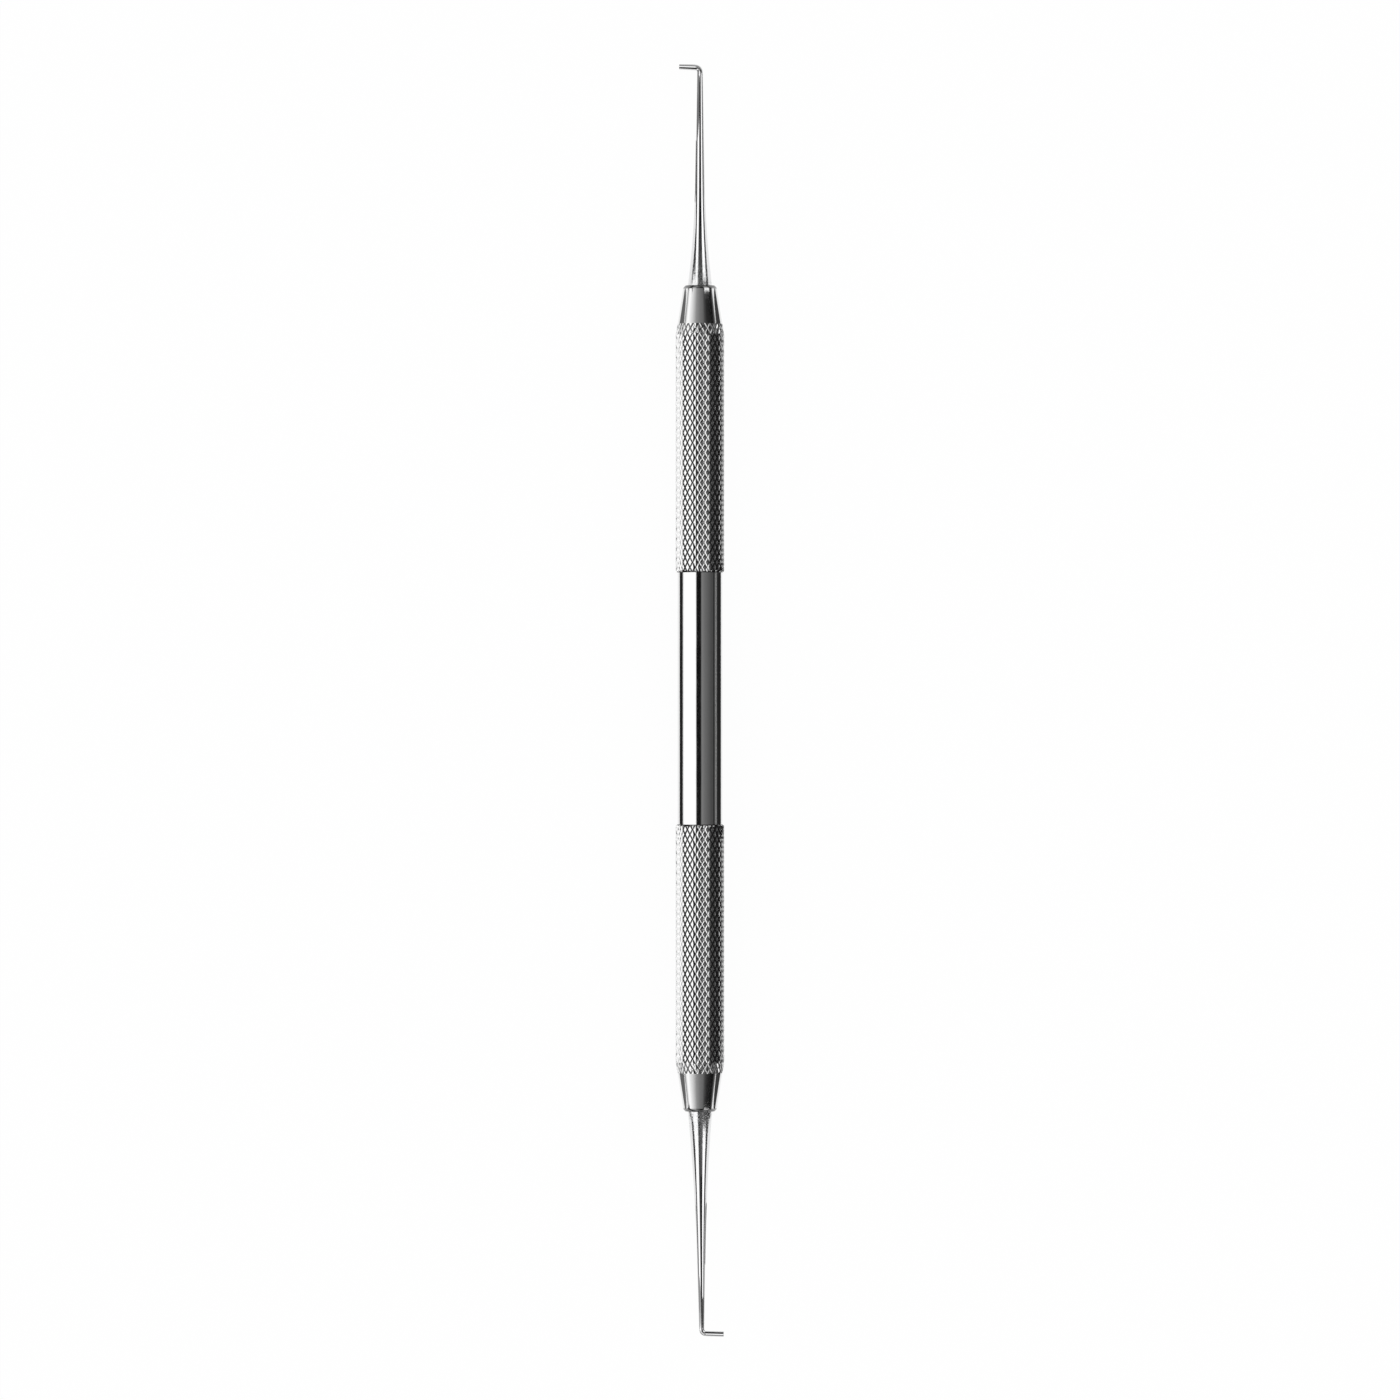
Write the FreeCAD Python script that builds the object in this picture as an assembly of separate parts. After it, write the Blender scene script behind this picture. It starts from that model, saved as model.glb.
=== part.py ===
import FreeCAD, Part
import math
import os

from FreeCAD import Vector

# A double-ended root canal plugger for dental surgery, in millimetres.
# It lies on a flat surface, resting on the crests of its two knurled grips.
# The long axis runs along Y, with the upper end at +Y. Both tips lie level.
# The origin is on the surface, under the middle of the overall length.

# Handle, turned from one bar
bar_diameter = 5.85
plain_centre_length = 32.9
cone_length = 5.0
cone_end_diameter = 4.3
cone_edge_bevel = 0.35

# Diamond knurl of the two grips
knurl_crest_diameter = 6.35
knurl_root_diameter = 6.0
knurl_count = 26
knurl_pitch = 1.3
knurl_rows = 25
knurl_end_land = 0.03
knurl_end_bevel = 0.1

# Joint between the handle and the working ends
tang_diameter = 2.4
tang_length = 12.0
tang_clearance = 0.01
bore_end_gap = 0.4

# Upper working end
upper_shank_length = 28.5
upper_root_diameter = 3.15
upper_flare_length = 12.5
upper_flare_hollow = 0.14
upper_neck_diameter = 1.28
upper_bend_diameter = 0.78
upper_tip_diameter = 0.68
upper_tip_reach = 2.74
upper_lean = 0.0

# Lower working end
lower_shank_length = 29.05
lower_root_diameter = 3.2
lower_flare_length = 18.3
lower_flare_hollow = 0.147
lower_neck_diameter = 1.14
lower_bend_diameter = 0.7
lower_tip_diameter = 0.7
lower_tip_reach = 2.88
lower_lean = 0.45

# Bend between shank and tip, the same at both ends
bend_radius = 0.6
bend_angle = 88.0

ALONG = Vector(0, 1, 0)
UP = Vector(0, 0, 1)

bar_radius = bar_diameter / 2
crest_radius = knurl_crest_diameter / 2
root_radius = knurl_root_diameter / 2
column_angle = 180.0 / knurl_count
grip_length = knurl_rows * knurl_pitch
cone_slope = (bar_diameter - cone_end_diameter) / 2 / cone_length
grip_start = plain_centre_length / 2
cone_start = grip_start + grip_length
handle_end = cone_start + cone_length

# The handle lies on two neighbouring columns of crests, so its axis is this high
axis_height = crest_radius * math.cos(math.radians(column_angle / 2))


def knurl_crest(from_centre):
    """Radius of the crests, bevelled at the plain centre and cut by the line of the cone."""
    from_cone = grip_length - from_centre
    bevelled = bar_radius + knurl_end_land + knurl_end_bevel + from_centre
    coned = bar_radius + knurl_end_land + cone_slope * from_cone
    return min(crest_radius, bevelled, coned)


def knurl_point(column, half_row):
    """A point of the knurl: crossings of grooves and crests alternate like a chessboard."""
    along = half_row * knurl_pitch / 2
    at_end = half_row in (0, 2 * knurl_rows)
    if (column + half_row) % 2:
        radius = knurl_crest(along)
    elif at_end:
        radius = bar_radius + knurl_end_land
    else:
        radius = root_radius
    angle = math.radians(-90 + (column + 0.5) * column_angle)
    return Vector(radius * math.cos(angle), grip_start + along, radius * math.sin(angle))


def triangle(first, second, third):
    return Part.Face(Part.makePolygon([first, second, third, first]))


def knurled_grip():
    """Four flanks around each crest, and a flat face at each end of the grip."""
    last = 2 * knurl_rows
    faces = []
    for half_row in range(last + 1):
        for column in range(2 * knurl_count):
            if (column + half_row) % 2 == 0:
                continue
            crest = knurl_point(column, half_row)
            left = knurl_point(column - 1, half_row)
            right = knurl_point(column + 1, half_row)
            if half_row < last:
                above = knurl_point(column, half_row + 1)
                faces.append(triangle(crest, right, above))
                faces.append(triangle(crest, above, left))
            if half_row > 0:
                below = knurl_point(column, half_row - 1)
                faces.append(triangle(crest, left, below))
                faces.append(triangle(crest, below, right))
    for half_row in (0, last):
        rim = [knurl_point(column, half_row) for column in range(2 * knurl_count)]
        faces.append(Part.Face(Part.makePolygon(rim + [rim[0]])))
    skin = Part.makeShell(faces)
    skin.sewShape()
    return Part.makeSolid(skin)


def handle_cone():
    cone = Part.makeCone(bar_radius, cone_end_diameter / 2, cone_length, Vector(0, cone_start, 0), ALONG)
    end_edge = [edge for edge in cone.Edges if edge.BoundBox.YMin > handle_end - 0.001]
    return cone.makeChamfer(cone_edge_bevel, end_edge)


def tang_bore():
    depth = tang_length + bore_end_gap
    radius = tang_diameter / 2 + tang_clearance
    return Part.makeCylinder(radius, depth, Vector(0, handle_end - depth, 0), ALONG)


def turned(shape):
    """The same shape at the other end of the handle."""
    copy = shape.copy()
    copy.rotate(Vector(0, 0, 0), UP, 180)
    return copy


def handle():
    centre = Part.makeCylinder(bar_radius, plain_centre_length, Vector(0, -grip_start, 0), ALONG)
    grip = knurled_grip()
    cone = handle_cone()
    body = centre.fuse([grip, turned(grip), cone, turned(cone)])
    bore = tang_bore()
    return body.cut([bore, turned(bore)])


def curve(*poles):
    flow = Part.BezierCurve()
    flow.setPoles(list(poles))
    return flow.toShape()


def revolved(outline, start, end):
    """Round solid about the long axis, from the edges that run from one radius to the other."""
    foot = Vector(0, start.y, 0)
    top = Vector(0, end.y, 0)
    sides = [Part.makeLine(foot, start)] + outline + [Part.makeLine(end, top), Part.makeLine(top, foot)]
    return Part.Face(Part.Wire(sides)).revolve(foot, ALONG, 360)


def shank(length, root_diameter, flare_length, flare_hollow, neck_diameter, bend_diameter):
    """Round shank along +Y from the seat on the handle: a hollow flare, then a slender taper."""
    root = Vector(root_diameter / 2, 0, 0)
    neck = Vector(neck_diameter / 2, flare_length, 0)
    end = Vector(bend_diameter / 2, length, 0)
    halfway = (root + neck) / 2 - Vector(flare_hollow, 0, 0)
    flare = Part.Arc(root, halfway, neck).toShape()
    return revolved([flare, curve(neck, end)], root, end)


def bend(diameter, start):
    """The shank's section swept round an arc towards -X."""
    arc = Part.makeCircle(bend_radius, start - Vector(bend_radius, 0, 0), UP, 0, bend_angle)
    path = arc.Curve.toBSpline(arc.FirstParameter, arc.LastParameter).toShape()
    section = Part.makeCircle(diameter / 2, start, ALONG)
    return Part.Wire(path).makePipe(Part.Face(Part.Wire(section)))


def tip(bend_diameter, tip_diameter, length, start):
    """Flat-ended tip, turned along Y and then swung round to leave the bend."""
    wide = Vector(bend_diameter / 2, 0, 0)
    narrow = Vector(tip_diameter / 2, length, 0)
    piece = revolved([curve(wide, narrow)], wide, narrow)
    piece.rotate(Vector(0, 0, 0), UP, bend_angle)
    piece.translate(start)
    return piece


def working_end(shank_length, root_diameter, flare_length, flare_hollow, neck_diameter,
                bend_diameter, tip_diameter, tip_reach, lean):
    """Shank, bend and flat-ended tip that points to -X, with the tang that the handle holds."""
    angle = math.radians(bend_angle)
    tangent_length = bend_radius * math.tan(angle / 2)
    tip_length = tip_reach / math.sin(angle) - tangent_length
    bend_start = Vector(0, shank_length - tangent_length, 0)
    towards = Vector(-math.sin(angle), math.cos(angle), 0)
    bend_end = Vector(0, shank_length, 0) + towards * tangent_length
    straight = shank(bend_start.y, root_diameter, flare_length, flare_hollow, neck_diameter,
                     bend_diameter)
    hook = [bend(bend_diameter, bend_start), tip(bend_diameter, tip_diameter, tip_length, bend_end)]
    piece = seated(straight.fuse(hook), root_diameter, lean)
    tang = Part.makeCylinder(tang_diameter / 2, tang_length, Vector(0, -tang_length, 0), ALONG)
    piece = piece.fuse(tang)
    piece.translate(Vector(0, handle_end, 0))
    return piece


def seated(piece, root_diameter, lean):
    """Lean the piece towards its tip and trim its root square, to sit flush on the handle."""
    piece.rotate(Vector(0, 0, 0), UP, lean)
    sunk = root_diameter / 2 * math.sin(math.radians(lean))
    piece.translate(Vector(0, -sunk, 0))
    corner = Vector(-root_diameter, -root_diameter, -root_diameter)
    return piece.cut(Part.makeBox(2 * root_diameter, root_diameter, 2 * root_diameter, corner))


def upper_working_end():
    return working_end(upper_shank_length, upper_root_diameter, upper_flare_length,
                       upper_flare_hollow, upper_neck_diameter, upper_bend_diameter,
                       upper_tip_diameter, upper_tip_reach, upper_lean)


def lower_working_end():
    return turned(working_end(lower_shank_length, lower_root_diameter, lower_flare_length,
                              lower_flare_hollow, lower_neck_diameter, lower_bend_diameter,
                              lower_tip_diameter, lower_tip_reach, lower_lean))


def main():
    nodes = {
        "handle": handle(),
        "upper_working_end": upper_working_end(),
        "lower_working_end": lower_working_end(),
    }
    box = Part.makeCompound(list(nodes.values())).optimalBoundingBox()
    middle = (box.YMin + box.YMax) / 2
    os.makedirs("parts", exist_ok=True)
    for name, shape in nodes.items():
        shape.translate(Vector(0, -middle, axis_height))
        shape.exportStep("parts/" + name + ".step")
        print(name, len(shape.Solids), shape.isValid(), round(shape.Volume, 3), shape.BoundBox)


main()
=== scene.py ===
import math

import bpy
from mathutils import Matrix, Vector


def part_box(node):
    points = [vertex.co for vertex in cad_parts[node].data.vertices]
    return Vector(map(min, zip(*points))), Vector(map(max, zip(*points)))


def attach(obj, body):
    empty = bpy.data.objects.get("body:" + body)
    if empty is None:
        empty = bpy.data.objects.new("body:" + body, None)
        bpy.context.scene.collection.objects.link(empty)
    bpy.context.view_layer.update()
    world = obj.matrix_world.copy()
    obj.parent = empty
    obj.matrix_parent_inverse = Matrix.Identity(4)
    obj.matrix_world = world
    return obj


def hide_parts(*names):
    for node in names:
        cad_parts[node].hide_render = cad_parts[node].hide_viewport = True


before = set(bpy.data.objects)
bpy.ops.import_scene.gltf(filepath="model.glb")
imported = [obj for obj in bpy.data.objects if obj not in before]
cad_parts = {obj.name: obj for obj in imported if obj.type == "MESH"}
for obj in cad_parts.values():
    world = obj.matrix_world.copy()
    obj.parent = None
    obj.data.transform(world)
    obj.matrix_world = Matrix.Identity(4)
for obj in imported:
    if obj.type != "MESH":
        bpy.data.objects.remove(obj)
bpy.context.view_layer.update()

MM = 0.001

# Places read from the CAD frame
HANDLE_LOW, HANDLE_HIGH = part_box("handle")
AXIS_HEIGHT = (HANDLE_LOW.z + HANDLE_HIGH.z) / 2
HANDLE_MIDDLE = (HANDLE_LOW.y + HANDLE_HIGH.y) / 2
HANDLE_END = (HANDLE_HIGH.y - HANDLE_LOW.y) / 2

# Handle
BAR_RADIUS = 2.925 * MM
PLAIN_LENGTH = 32.9 * MM
CONE_LENGTH = 5.0 * MM
CONE_END_RADIUS = 2.15 * MM
GRIP_START = PLAIN_LENGTH / 2
GRIP_LENGTH = HANDLE_END - CONE_LENGTH - GRIP_START
CONE_SLOPE = (BAR_RADIUS - CONE_END_RADIUS) / CONE_LENGTH

# Bevel at the cone's end: it turns from the cone's slope to its own angle over a share of its length
BEVEL_LENGTH = 0.4 * MM
BEVEL_ANGLE = math.radians(44)
BEVEL_EASE = 0.6
BEVEL_STEPS = 10

# Knurl: crests and groove crossings alternate like a chessboard of columns and half rows
CREST_RADIUS = 3.175 * MM
ROOT_RADIUS = 3.045 * MM
COLUMNS = 52
HALF_ROWS = 50
HALF_PITCH = GRIP_LENGTH / HALF_ROWS
END_LAND = 0.03 * MM

# One diamond, from groove to groove: places across it and the height at each, as shares
TOP_EDGE = 0.20
DOME = 0.35
STEPS = (0.0, TOP_EDGE, DOME, 0.5, 1 - DOME, 1 - TOP_EDGE)
HEIGHTS = (0.0, 0.80, 0.96, 1.0, 0.96, 0.80)

# Working ends: lengths run from the end face of the handle
UPPER = dict(length=28.5 * MM, root=1.575 * MM, flare=12.5 * MM, hollow=0.14 * MM, neck=0.64 * MM,
             bend=0.39 * MM, tip=0.34 * MM, reach=2.74 * MM, lean=0.0, side=1)
LOWER = dict(length=29.05 * MM, root=1.6 * MM, flare=18.3 * MM, hollow=0.147 * MM, neck=0.57 * MM,
             bend=0.35 * MM, tip=0.35 * MM, reach=2.88 * MM, lean=0.45, side=-1)
BEND_RADIUS = 0.6 * MM
BEND_ANGLE = 88.0
TIP_EDGE = 0.03 * MM
FLARE_STEPS = 24
TAPER_STEPS = 8
BEND_STEPS = 16

# Sides of every round form
ROUND = 128

# Camera: it looks straight down, with the long axis upright in the picture
FRAME_WIDTH = 182.98 * MM
CAMERA_HEIGHT = 1.2
CAMERA_Y = 0.06 * MM
SENSOR = 36.0


# Meshes

def add_mesh(name, points, faces, smooth_below=40.0):
    mesh = bpy.data.meshes.new(name)
    mesh.from_pydata([tuple(p) for p in points], [], faces)
    mesh.validate()
    mesh.update()
    piece = bpy.data.objects.new(name, mesh)
    bpy.context.scene.collection.objects.link(piece)
    mesh.shade_smooth()
    mesh.set_sharp_from_angle(angle=math.radians(smooth_below))
    return piece


def grip_radius(share, row_place):
    """Radius of the knurl from the share of its height and the place along the grip."""
    from_centre = row_place * HALF_PITCH
    bevelled = BAR_RADIUS + END_LAND + from_centre
    coned = BAR_RADIUS + END_LAND + CONE_SLOPE * (GRIP_LENGTH - from_centre)
    sunk = (CREST_RADIUS - ROOT_RADIUS) * (1 - share)
    return min(CREST_RADIUS - sunk, bevelled, coned - sunk)


def grip(turn):
    """One knurled grip: a grid along the two sets of helical grooves, closed by flat ends."""
    cut = len(STEPS)
    rows = HALF_ROWS * cut
    around = COLUMNS // 2 * cut
    points = []
    for row in range(rows + 1):
        for index in range(around):
            first = (index + row) // cut + STEPS[(index + row) % cut]
            second = index // cut + STEPS[index % cut]
            column = first + second
            half_row = first - second
            share = min(HEIGHTS[(index + row) % cut], HEIGHTS[index % cut])
            radius = grip_radius(share, half_row)
            angle = math.radians(-90 + (column + 0.5) * 360 / COLUMNS)
            along = GRIP_START + half_row * HALF_PITCH
            points.append((turn * radius * math.cos(angle), turn * along, radius * math.sin(angle)))
    faces = []
    for row in range(rows + 1):
        for index in range(around):
            ahead = (index + 1) % around
            left = row * around + index
            right = row * around + ahead
            above = (row + 1) * around + index
            below = (row - 1) * around + ahead
            if row == 0:
                faces.append((left, right, above))
            elif row == rows:
                faces.append((left, below, right))
            elif row % cut == 0:
                faces.append((left, right, above))
                faces.append((left, below, right))
            else:
                faces.append((left, below, above))
                faces.append((below, right, above))
    faces.append(tuple(reversed(range(around))))
    faces.append(tuple(rows * around + index for index in range(around)))
    return points, faces


def tube(rings):
    """A closed round form through rings, each a centre, a direction and a radius."""
    points = []
    faces = []
    for centre, direction, radius in rings:
        across = Vector((direction.y, -direction.x, 0)).normalized()
        for index in range(ROUND):
            angle = 2 * math.pi * index / ROUND
            offset = across * math.cos(angle) + Vector((0, 0, 1)) * math.sin(angle)
            points.append(centre + offset * radius)
    for ring in range(len(rings) - 1):
        for index in range(ROUND):
            ahead = (index + 1) % ROUND
            low = ring * ROUND
            high = low + ROUND
            faces.append((low + index, high + index, high + ahead, low + ahead))
    faces.append(tuple(range(ROUND)))
    faces.append(tuple(reversed(range(len(points) - ROUND, len(points)))))
    return points, faces


def turned_rings(outline):
    """Rings about the long axis from pairs of place and radius."""
    return [(Vector((0, place, 0)), Vector((0, 1, 0)), radius) for place, radius in outline]


def plain_centre():
    return tube(turned_rings([(-GRIP_START, BAR_RADIUS), (0, BAR_RADIUS), (GRIP_START, BAR_RADIUS)]))


def cone(turn):
    """The short cone at one end of the handle: a softened bevel takes off its end edge."""
    start = HANDLE_END - CONE_LENGTH
    slope = math.atan(CONE_SLOPE)
    place = HANDLE_END - BEVEL_LENGTH
    radius = BAR_RADIUS - CONE_SLOPE * (place - start)
    outline = [(start, BAR_RADIUS)]
    stride = BEVEL_LENGTH / BEVEL_STEPS
    for step in range(BEVEL_STEPS + 1):
        outline.append((place, radius))
        eased = min(1, (step + 0.5) / (BEVEL_EASE * BEVEL_STEPS))
        place += stride
        radius -= stride * math.tan(slope + (BEVEL_ANGLE - slope) * eased)
    under_shank = UPPER["root"] * 0.9
    outline.append((HANDLE_END, under_shank))
    if turn < 0:
        outline = [(-place, radius) for place, radius in reversed(outline)]
    return tube(turned_rings(outline))


def joined(parts):
    """One list of points and one of faces from several closed forms."""
    points = []
    faces = []
    for part_points, part_faces in parts:
        first = len(points)
        points.extend(part_points)
        faces.extend(tuple(first + corner for corner in face) for face in part_faces)
    return points, faces


def outward(piece):
    """Turn every face of each closed form to face outwards."""
    bpy.context.view_layer.objects.active = piece
    piece.select_set(True)
    bpy.ops.object.mode_set(mode="EDIT")
    bpy.ops.mesh.select_all(action="SELECT")
    bpy.ops.mesh.normals_make_consistent(inside=False)
    bpy.ops.object.mode_set(mode="OBJECT")
    piece.select_set(False)


def handle():
    grips = [grip(1), grip(-1)]
    plain = [plain_centre(), cone(1), cone(-1)]
    points, faces = joined(grips + plain)
    piece = add_mesh("steel_handle", points, faces, smooth_below=17)
    knurled = sum(len(part_faces) for _, part_faces in grips)
    piece.data.materials.append(polished_steel("handle_polish", TURNING_LINES))
    piece.data.materials.append(knurl_steel())
    for index, polygon in enumerate(piece.data.polygons):
        polygon.material_index = 1 if index < knurled else 0
    outward(piece)
    piece.location = (0, HANDLE_MIDDLE, AXIS_HEIGHT)
    return piece


def flare_radius(form, place):
    """Radius on the hollow arc between the root and the neck."""
    rise = form["root"] - form["neck"]
    chord = math.hypot(form["flare"], rise)
    bow = (chord * chord / 4 + form["hollow"] ** 2) / (2 * form["hollow"])
    share = place / form["flare"]
    straight = form["root"] - rise * share
    from_middle = (share - 0.5) * chord
    return straight - (math.sqrt(bow * bow - from_middle * from_middle) - (bow - form["hollow"]))


def working_end(name, form):
    """Shank, bend and flat-ended tip, from the handle's end face outwards."""
    angle = math.radians(BEND_ANGLE)
    tangent = BEND_RADIUS * math.tan(angle / 2)
    bend_start = form["length"] - tangent
    rings = []
    along = Vector((0, 1, 0))
    for step in range(FLARE_STEPS + 1):
        place = form["flare"] * step / FLARE_STEPS
        rings.append((Vector((0, place, 0)), along, flare_radius(form, place)))
    for step in range(1, TAPER_STEPS + 1):
        share = step / TAPER_STEPS
        place = form["flare"] + (bend_start - form["flare"]) * share
        radius = form["neck"] + (form["bend"] - form["neck"]) * share
        rings.append((Vector((0, place, 0)), along, radius))
    for step in range(1, BEND_STEPS + 1):
        swing = angle * step / BEND_STEPS
        centre = Vector((BEND_RADIUS * (math.cos(swing) - 1), bend_start + BEND_RADIUS * math.sin(swing), 0))
        direction = Vector((-math.sin(swing), math.cos(swing), 0))
        rings.append((centre, direction, form["bend"]))
    centre, direction, _ = rings[-1]
    tip_length = form["reach"] / math.sin(angle) - tangent
    for length, radius in ((0.5 * tip_length, (form["bend"] + form["tip"]) / 2),
                           (tip_length - 2 * TIP_EDGE, form["tip"]),
                           (tip_length - TIP_EDGE, form["tip"]),
                           (tip_length - 0.3 * TIP_EDGE, form["tip"] - 0.3 * TIP_EDGE),
                           (tip_length, form["tip"] - TIP_EDGE)):
        rings.append((centre + direction * length, direction, radius))
    points, faces = tube(rings)
    piece = add_mesh(name, points, faces, smooth_below=30)
    sunk = form["root"] * math.sin(math.radians(form["lean"]))
    lean = Matrix.Rotation(math.radians(form["lean"]), 4, "Z")
    seat = Matrix.Translation((0, HANDLE_END - sunk, 0))
    side = Matrix.Rotation(0 if form["side"] > 0 else math.pi, 4, "Z")
    middle = Matrix.Translation((0, HANDLE_MIDDLE, AXIS_HEIGHT))
    piece.data.transform(middle @ side @ seat @ lean)
    outward(piece)
    piece.data.materials.append(polished_steel(name + "_polish", SHANK_LINES))
    return piece


# Materials

STEEL = (0.80, 0.80, 0.804, 1)
# Painted reflection: grey levels that darken the cone's bevel near the handle's end face, standing for a
# dark band mirrored there
BEVEL_PAINTED_REFLECTION = [(0.2, 0.80), (0.42, 0.30), (0.8, 0.15)]
# Painted shade: grey levels by depth into the knurl, darkening the groove floors where shade falls
KNURL_GROOVE_PAINTED_SHADE = [(0.0, 0.84), (0.78, 0.80), (0.90, 0.25), (1.0, 0.05)]

# The scale of a pattern is in waves for each millimetre, across and along. Over a given length before the
# handle's end face the base colour is painted darker, a painted reflection of a dark band on the bevel; the
# steel is grained over grain_end beyond it.
TURNING_LINES = dict(fine=(0.25, 16.0), fine_strength=0.05, wave=(0.35, 0.12), wave_strength=0.25,
                     roughness=(0.05, 0.11), grain_end=0.0, painted_reflection_end=0.6 * MM)
SHANK_LINES = dict(fine=(5.0, 5.0), fine_strength=0.35, wave=(0.5, 0.2), wave_strength=0.1,
                   roughness=(0.05, 0.10), grain_end=13 * MM, speck=0.3, painted_reflection_end=0.0)


class Nodes:
    """Short ways to add and join shader nodes."""

    def __init__(self, tree):
        self.tree = tree
        self.tree.nodes.clear()

    def add(self, kind, **settings):
        node = self.tree.nodes.new(kind)
        for key, value in settings.items():
            setattr(node, key, value)
        return node

    def join(self, source, target):
        self.tree.links.new(source, target)

    def math(self, operation, first, second=None, third=None):
        node = self.add("ShaderNodeMath", operation=operation)
        for socket, value in zip(node.inputs, (first, second, third)):
            if value is None:
                continue
            if isinstance(value, (int, float)):
                socket.default_value = value
            else:
                self.join(value, socket)
        return node.outputs[0]

    def ramp(self, value, stops, ease="LINEAR"):
        """Grey levels over 0 to 1 from pairs of place and level."""
        node = self.add("ShaderNodeValToRGB")
        node.color_ramp.interpolation = ease
        elements = node.color_ramp.elements
        while len(elements) < len(stops):
            elements.new(0.5)
        for element, (place, level) in zip(elements, stops):
            element.position = place
            element.color = (level, level, level, 1)
        self.join(value, node.inputs[0])
        return node.outputs[0]

    def noise(self, vector, scale, detail=2.0):
        """Noise on object coordinates, stretched by a scale across and along the piece."""
        mapping = self.add("ShaderNodeMapping")
        across, along = scale
        mapping.inputs["Scale"].default_value = (across / MM, along / MM, across / MM)
        self.join(vector, mapping.inputs["Vector"])
        node = self.add("ShaderNodeTexNoise")
        node.inputs["Scale"].default_value = 1.0
        node.inputs["Detail"].default_value = detail
        self.join(mapping.outputs[0], node.inputs["Vector"])
        return node.outputs["Fac"]


def new_material(name):
    material = bpy.data.materials.new(name)
    material.use_nodes = True
    return material, Nodes(material.node_tree)


def polished_steel(name, look):
    """Turned and polished stainless steel: faint lathe lines or a fine grain, an uneven shine, and where
    asked a painted dark reflection on the bevel before the handle's end face.
    """
    material, nodes = new_material(name)
    shader = nodes.add("ShaderNodeBsdfPrincipled")
    shader.inputs["Metallic"].default_value = 1.0
    place = nodes.add("ShaderNodeTexCoord").outputs["Object"]
    split = nodes.add("ShaderNodeSeparateXYZ")
    nodes.join(place, split.inputs[0])
    beyond = nodes.math("SUBTRACT", nodes.math("ABSOLUTE", split.outputs["Y"]), HANDLE_END)
    # Painted reflection: near the handle's end face the base colour turns dark over the bevel, in place of a
    # reflected dark band
    if look["painted_reflection_end"]:
        share = nodes.math("MULTIPLY_ADD", beyond, 1 / look["painted_reflection_end"], 1.0)
        nodes.join(nodes.ramp(share, BEVEL_PAINTED_REFLECTION), shader.inputs["Base Color"])
    else:
        shader.inputs["Base Color"].default_value = STEEL
    uneven = nodes.noise(place, (1.2, 0.6), 3.0)
    low, high = look["roughness"]
    roughness = nodes.ramp(uneven, [(0.3, low), (0.7, high)])
    lines = nodes.add("ShaderNodeBump")
    lines.inputs["Strength"].default_value = look["fine_strength"]
    lines.inputs["Distance"].default_value = 0.02 * MM
    height = nodes.noise(place, look["fine"])
    if look["grain_end"]:
        share = nodes.math("DIVIDE", beyond, look["grain_end"])
        faded = nodes.ramp(share, [(0.0, 1.0), (0.6, 0.0)])
        specks = nodes.ramp(nodes.noise(place, (7.0, 7.0)), [(0.48, 0.0), (0.60, look["speck"])])
        roughness = nodes.math("ADD", roughness, nodes.math("MULTIPLY", specks, faded))
        height = nodes.math("MULTIPLY", height, faded)
    nodes.join(roughness, shader.inputs["Roughness"])
    nodes.join(height, lines.inputs["Height"])
    waves = nodes.add("ShaderNodeBump")
    waves.inputs["Strength"].default_value = look["wave_strength"]
    waves.inputs["Distance"].default_value = 0.05 * MM
    nodes.join(nodes.noise(place, look["wave"]), waves.inputs["Height"])
    nodes.join(waves.outputs[0], lines.inputs["Normal"])
    nodes.join(lines.outputs[0], shader.inputs["Normal"])
    output = nodes.add("ShaderNodeOutputMaterial")
    nodes.join(shader.outputs[0], output.inputs["Surface"])
    return material


def knurl_steel():
    """Rolled knurl: burnished crests, slightly rough flanks, and painted shade in the base colour of the
    groove floors.
    """
    material, nodes = new_material("knurl_steel")
    shader = nodes.add("ShaderNodeBsdfPrincipled")
    shader.inputs["Metallic"].default_value = 1.0
    place = nodes.add("ShaderNodeTexCoord").outputs["Object"]
    split = nodes.add("ShaderNodeSeparateXYZ")
    nodes.join(place, split.inputs[0])
    across, along, up = split.outputs
    square = nodes.math("MULTIPLY_ADD", across, across, nodes.math("MULTIPLY", up, up))
    from_cone = nodes.math("SUBTRACT", GRIP_START + GRIP_LENGTH, nodes.math("ABSOLUTE", along))
    coned = nodes.math("MULTIPLY_ADD", from_cone, CONE_SLOPE, BAR_RADIUS + END_LAND)
    crest = nodes.math("MINIMUM", coned, CREST_RADIUS)
    below = nodes.math("SUBTRACT", crest, nodes.math("SQRT", square))
    sunk = nodes.math("DIVIDE", below, CREST_RADIUS - ROOT_RADIUS)
    # Painted shade: the base colour darkens with depth into the grooves, standing in for the shade in them
    nodes.join(nodes.ramp(sunk, KNURL_GROOVE_PAINTED_SHADE), shader.inputs["Base Color"])
    grain = nodes.noise(place, (9.0, 9.0), 3.0)
    nodes.join(nodes.ramp(grain, [(0.3, 0.07), (0.7, 0.14)]), shader.inputs["Roughness"])
    bump = nodes.add("ShaderNodeBump")
    bump.inputs["Strength"].default_value = 0.15
    bump.inputs["Distance"].default_value = 0.01 * MM
    nodes.join(nodes.noise(place, (14.0, 14.0), 3.0), bump.inputs["Height"])
    nodes.join(bump.outputs[0], shader.inputs["Normal"])
    output = nodes.add("ShaderNodeOutputMaterial")
    nodes.join(shader.outputs[0], output.inputs["Surface"])
    return material


# Studio: a white floor, a softbox on the left, a dark gap overhead and grey on the right

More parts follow.
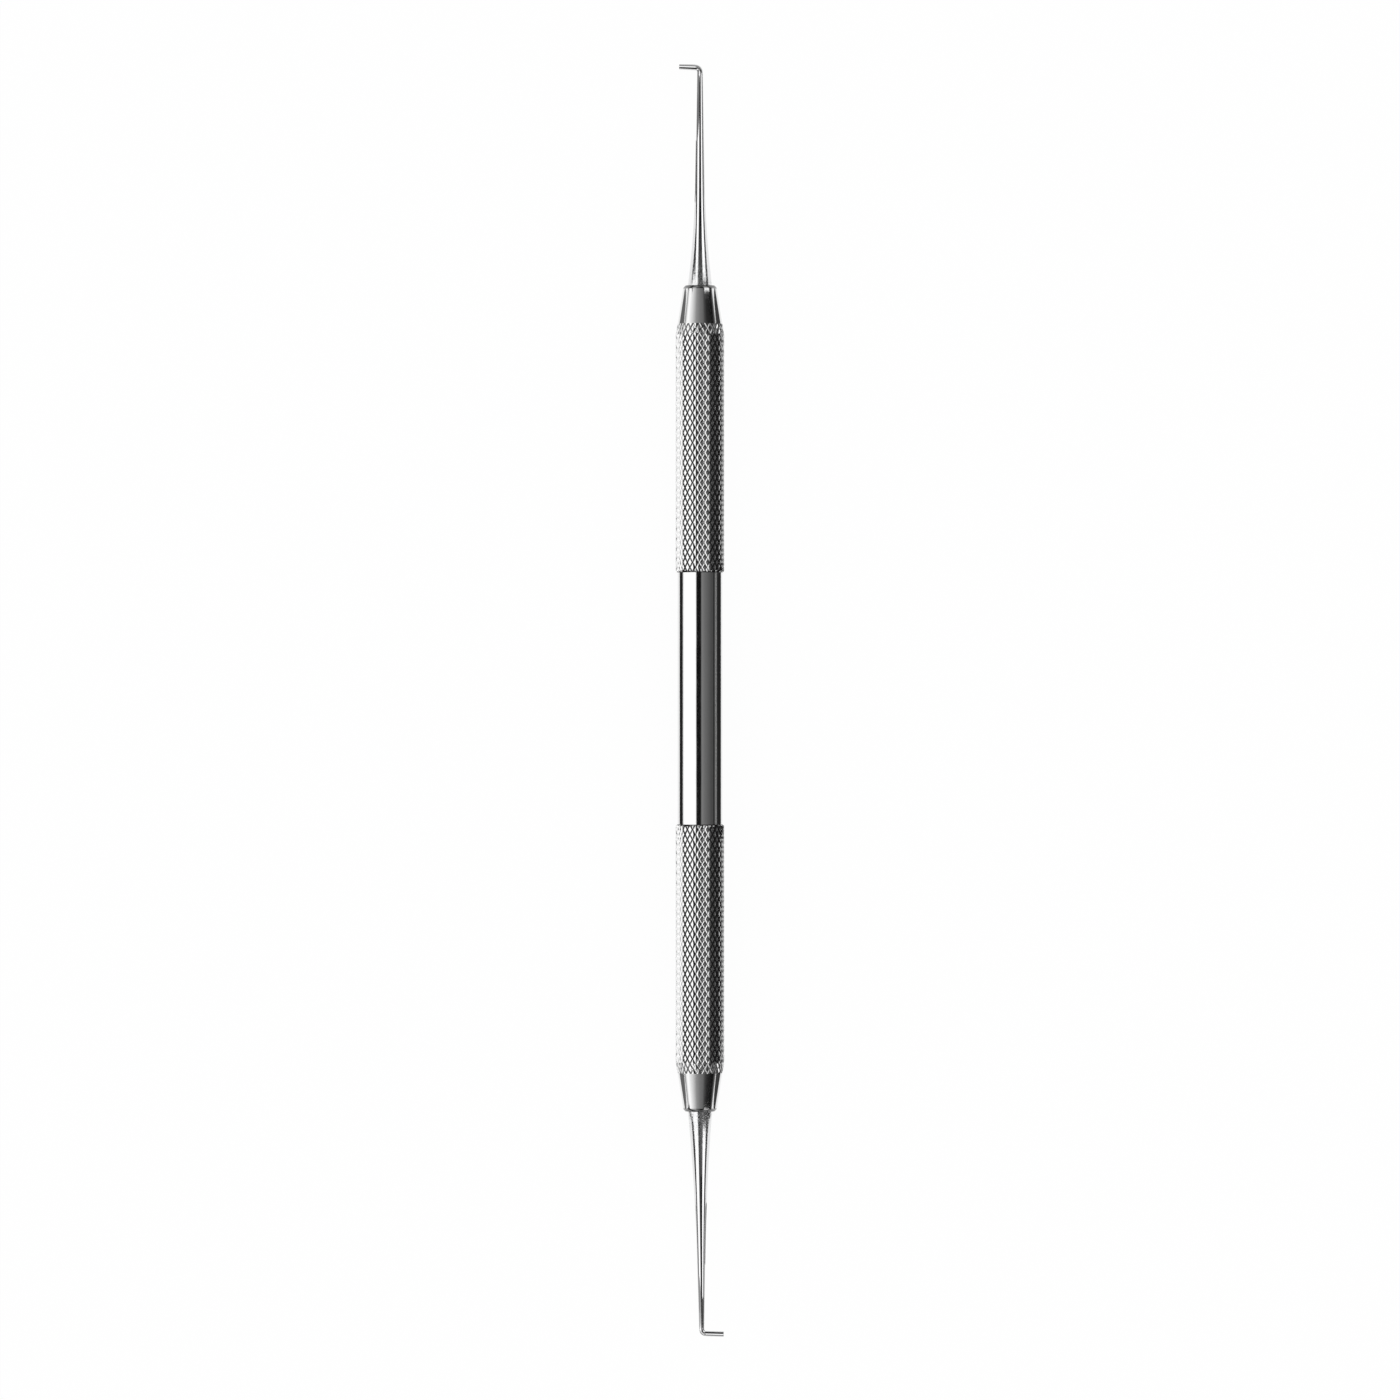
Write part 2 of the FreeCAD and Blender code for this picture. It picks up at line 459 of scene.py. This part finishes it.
# Light levels by twice the turn of a surface about the long axis, in degrees towards +X.
# Each is for surfaces of one lean along that axis, as the camera above sees them.
STRAIGHT = [(-100, 0.9), (-90, 1.3), (-24, 1.4), (-17, 0.006), (4, 0.006), (9, 0.24), (24, 0.17),
            (62, 0.075), (68, 0.085), (74, 0.03), (80, 0.03), (85, 0.18), (95, 0.18), (100, 0.02)]
UPPER_SHANK = [(-100, 1.2), (-26, 1.3), (-20, 0.006), (22, 0.006), (30, 0.05), (100, 0.05)]
LOWER_SHANK = [(-100, 1.2), (-26, 1.3), (-19, 0.02), (0, 0.08), (30, 0.14), (42, 0.12), (50, 0.05),
               (100, 0.05)]
CONE = [(-100, 0.2), (-86, 0.25), (-74, 1.1), (-66, 1.25), (-38, 0.7), (-21, 0.34), (0, 0.21), (16, 0.16),
        (25, 0.07), (37, 0.024), (55, 0.012), (69, 0.005), (76, 0.02), (84, 0.16), (92, 0.08), (100, 0.05)]
KNURL_FLANK = [(-100, 1.3), (-29, 1.3), (-22, 0.005), (100, 0.01)]
END_ON = [(-100, 0.04), (100, 0.02)]

# The levels change over these leans: how far a surface faces along the axis, 0 not at all to 1 fully
SHANK_LEAN = (0.036, 0.046)
GLOW_LEAN = (0.070, 0.115)
CONE_LEAN = (0.148, 0.165)
FLANK_LEAN = (0.20, 0.27)
END_LEAN = (0.50, 0.60)


def sky():
    """Studio light by direction, laid out by the surface that mirrors it to the camera above."""
    world = bpy.data.worlds.new("studio")
    bpy.context.scene.world = world
    world.use_nodes = True
    nodes = Nodes(world.node_tree)
    split = nodes.add("ShaderNodeSeparateXYZ")
    nodes.join(nodes.add("ShaderNodeTexCoord").outputs["Generated"], split.inputs[0])
    x, y, z = split.outputs
    raised = nodes.math("MAXIMUM", nodes.math("ADD", z, 1.0), 0.001)
    share = nodes.math("MULTIPLY_ADD", nodes.math("ARCTAN2", x, raised), 1 / math.pi, 0.5)
    lean = nodes.math("DIVIDE", y, nodes.math("SQRT", nodes.math("MULTIPLY", raised, 2.0)))
    steep = nodes.math("ABSOLUTE", lean)

    def level(stops):
        return nodes.ramp(share, [(0.5 + degrees / 360, grey) for degrees, grey in stops])

    def blend(first, second, value, change):
        low, high = change
        amount = nodes.ramp(value, [(low, 0.0), (high, 1.0)], "EASE")
        mix = nodes.add("ShaderNodeMix", data_type="RGBA")
        nodes.join(amount, mix.inputs["Factor"])
        nodes.join(first, mix.inputs["A"])
        nodes.join(second, mix.inputs["B"])
        return mix.outputs["Result"]

    shank = blend(level(LOWER_SHANK), level(UPPER_SHANK), lean, (0.0, 0.001))
    glow = nodes.ramp(steep, [(GLOW_LEAN[0], 0.0), (GLOW_LEAN[1], 0.06)])
    shank = nodes.math("MAXIMUM", shank, glow)
    light = blend(level(STRAIGHT), shank, steep, SHANK_LEAN)
    light = blend(light, level(CONE), steep, CONE_LEAN)
    light = blend(light, level(KNURL_FLANK), steep, FLANK_LEAN)
    light = blend(light, level(END_ON), steep, END_LEAN)
    studio = nodes.add("ShaderNodeBackground")
    nodes.join(light, studio.inputs["Color"])
    even = nodes.add("ShaderNodeBackground")
    even.inputs["Color"].default_value = (1, 1, 1, 1)
    seen = nodes.add("ShaderNodeLightPath")
    pick = nodes.add("ShaderNodeMixShader")
    nodes.join(seen.outputs["Is Glossy Ray"], pick.inputs[0])
    nodes.join(even.outputs[0], pick.inputs[1])
    nodes.join(studio.outputs[0], pick.inputs[2])
    output = nodes.add("ShaderNodeOutputWorld")
    nodes.join(pick.outputs[0], output.inputs["Surface"])


def floor():
    """White floor: mostly its own even white, with enough matt surface to keep a faint shadow."""
    size = 3.0
    points = [(-size, -size, 0), (size, -size, 0), (size, size, 0), (-size, size, 0)]
    piece = add_mesh("floor", points, [(0, 1, 2, 3)])
    material, nodes = new_material("floor_white")
    even = nodes.add("ShaderNodeEmission")
    even.inputs["Strength"].default_value = 1.0
    matt = nodes.add("ShaderNodeBsdfDiffuse")
    grain = nodes.noise(nodes.add("ShaderNodeTexCoord").outputs["Object"], (0.05, 0.05))
    nodes.join(nodes.ramp(grain, [(0.0, 0.88), (1.0, 0.92)]), matt.inputs["Color"])
    seen = nodes.add("ShaderNodeLightPath")
    direct = nodes.math("MAXIMUM", seen.outputs["Is Camera Ray"], seen.outputs["Is Glossy Ray"])
    shown = nodes.math("MAXIMUM", direct, seen.outputs["Is Transmission Ray"])
    mix = nodes.add("ShaderNodeMixShader")
    nodes.join(nodes.math("MULTIPLY", shown, 0.95), mix.inputs[0])
    nodes.join(matt.outputs[0], mix.inputs[1])
    nodes.join(even.outputs[0], mix.inputs[2])
    output = nodes.add("ShaderNodeOutputMaterial")
    nodes.join(mix.outputs[0], output.inputs["Surface"])
    piece.data.materials.append(material)


# Heights of level and upright cards, in mm
CARD_LOW = 0.3
CARD_HIGH = 15
WALL_HIGH = 60


def card(name, grey, corners):
    """A plain card that only shiny surfaces see, a studio flag or reflector, from corners in mm."""
    piece = add_mesh(name, [Vector(corner) * MM for corner in corners], [(0, 1, 2, 3)])
    material, nodes = new_material(name)
    glow = nodes.add("ShaderNodeEmission")
    glow.inputs["Color"].default_value = (grey, grey, grey, 1)
    output = nodes.add("ShaderNodeOutputMaterial")
    nodes.join(glow.outputs[0], output.inputs["Surface"])
    piece.data.materials.append(material)
    piece.visible_camera = False
    piece.visible_diffuse = False
    piece.visible_shadow = False
    piece.visible_transmission = False


def flat_card(name, grey, x, y, height=CARD_LOW):
    """A level card from its two limits across and along."""
    (left, right), (near, far) = x, y
    corners = [(left, near, height), (right, near, height), (right, far, height), (left, far, height)]
    card(name, grey, corners)


def side_card(name, grey, x, start, end):
    """An upright card along a shank: each end is a place along, a low edge and a high edge."""
    (near, near_low, near_high), (far, far_low, far_high) = start, end
    card(name, grey, [(x, near, near_low), (x, far, far_low), (x, far, far_high), (x, near, near_high)])


def grip_cards(name, out):
    """Flags on the floor beside one grip and the cone next to it."""
    grip_end = -CONE_LENGTH / MM
    start = (GRIP_START - HANDLE_END) / MM
    flat_card(name + "_grip_left_flag", 0.02, (-9.5, -7.5), out(start, grip_end))
    flat_card(name + "_grip_right_flag", 0.03, (12, 35), out(start, grip_end))
    inner, near, far = out(grip_end, 1.3, 78)
    for part, grey, beside, away in (("left", 0.15, -6.8, -400), ("right", 0.05, 6.8, 400)):
        corners = [(beside, inner, CARD_LOW), (beside, near, CARD_LOW),
                   (away, far, CARD_LOW), (away, inner, CARD_LOW)]
        card(name + "_cone_%s_flag" % part, grey, corners)


def shank_cards(name, out, left_lines, strip_end):
    """Walls beyond one end, a reflector on the right of its shank, and flags round its taper."""
    beyond = out(60)[0]
    for part, grey, left, right in (("left", 0.8, -100, -10), ("right", 0.35, -10, 100)):
        corners = [(left, beyond, CARD_LOW), (right, beyond, CARD_LOW),
                   (right, beyond, WALL_HIGH), (left, beyond, WALL_HIGH)]
        card(name + "_end_wall_" + part, grey, corners)
    first, last = out(4.4, strip_end)
    card(name + "_shank_strip", 1.3, [(7, first, 16), (7, last, 16), (14, last, 10.6), (14, first, 10.6)])
    flat_card(name + "_taper_flag", 0.01, (0.4, 6.3), out(10, 29), CARD_HIGH)
    flat_card(name + "_taper_right_flag", 0.25, (6.8, 35), out(13, 29))
    flat_card(name + "_taper_left_flag", 0.15, (-12, -6.4), out(13, 29.5))
    for index, (grey, start, end) in enumerate(left_lines):
        ends = [out(edge[0]) + list(edge[1:]) for edge in (start, end)]
        side_card(name + "_line_%d" % index, grey, -12, *ends)


def tip_cards(name, out, side, tip):
    """A reflector past one tip, grey beyond it, and flags before it."""
    across = (-side * 5.0, -side * 0.5)
    left, right = across
    flat_card(name + "_tip_reflector", 1.4, across, out(tip - 0.3, tip + 4.0), 10)
    near, far = out(tip + 4.0, tip + 21)
    corners = [(left, near, 10), (right, near, 10), (right, far, 3.2), (left, far, 3.2)]
    card(name + "_tip_grey", 0.35, corners)
    flat_card(name + "_tip_floor_flag", 0.5, across, out(tip + 3, tip + 30))
    flat_card(name + "_tip_flag", 0.01, across, out(tip - 6.0, tip - 0.8), CARD_HIGH)
    flat_card(name + "_tip_low_flag", 0.01, (-side * 5, -side), out(tip - 17, tip - 9))


def end_cards(name, side, left_lines, strip_end, tip):
    """Cards about one grip, cone, shank and tip: places along run outwards from the handle's end."""

    def out(*places):
        return [side * (HANDLE_END / MM + place) for place in places]

    grip_cards(name, out)
    shank_cards(name, out, left_lines, strip_end)
    tip_cards(name, out, side, tip)


# Dark and grey lines on the left of each shank: grey, then place, low edge and high edge at both ends
UPPER_LINES = [(0.03, (3.1, 3.0, 6.6), (5.3, 3.5, 7.8)), (0.20, (4.5, 7.3, 14.0), (5.8, 8.0, 13.6)),
               (0.03, (5.3, 4.2, 13.1), (10.3, 5.6, 11.2)), (0.04, (10.3, 5.6, 11.2), (13.5, 0.3, 8.8)),
               (0.10, (13.5, 0.3, 8.8), (20.3, 0.3, 7.1)), (0.20, (20.3, 0.3, 7.1), (26.3, 0.3, 34.0)),
               (0.25, (26.3, 0.3, 34.0), (29.5, 0.3, 44.0))]
LOWER_LINES = [(0.03, (2.4, 3.0, 7.6), (7.2, 3.0, 9.5)), (0.04, (7.2, 3.0, 9.5), (12.5, 3.0, 8.0)),
               (0.15, (12.5, 1.8, 8.0), (22.3, 0.3, 7.6)), (0.35, (22.3, 0.3, 7.6), (27.3, 0.3, 34.0)),
               (0.50, (27.3, 0.3, 34.0), (29.5, 0.3, 44.0))]


def cards():
    """Dark flags low beside the handle draw its edge lines, and reflectors light the slim ends."""
    face = HANDLE_END / MM
    middle = GRIP_START / MM + 1.5
    flat_card("left_flag", 0.02, (-30, -7.5), (-middle, middle))
    flat_card("right_flag", 0.02, (6.2, 35), (-middle, middle))
    flat_card("right_wall", 0.17, (35, 400), (-face - 5, face + 5))
    end_cards("upper", 1, UPPER_LINES, 29.5, 28.5)
    end_cards("lower", -1, LOWER_LINES, 25.5, 29.0)
    flat_card("lower_bend_flag", 0.08, (-20, -0.8), (-face - 50, -face - 30.5))


def camera():
    data = bpy.data.cameras.new("camera")
    data.sensor_width = SENSOR
    data.lens = SENSOR * (CAMERA_HEIGHT - AXIS_HEIGHT) / FRAME_WIDTH
    data.clip_end = 10
    view = bpy.data.objects.new("camera", data)
    bpy.context.scene.collection.objects.link(view)
    view.location = (0, CAMERA_Y, CAMERA_HEIGHT)
    bpy.context.scene.camera = view


def pieces():
    body = handle()
    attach(body, "root")
    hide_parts("handle")
    for name, form in (("upper_working_end", UPPER), ("lower_working_end", LOWER)):
        end = working_end("steel_" + name, form)
        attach(end, "root")
        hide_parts(name)


pieces()
sky()
floor()
cards()
camera()
bpy.context.scene.view_settings.view_transform = "Standard"
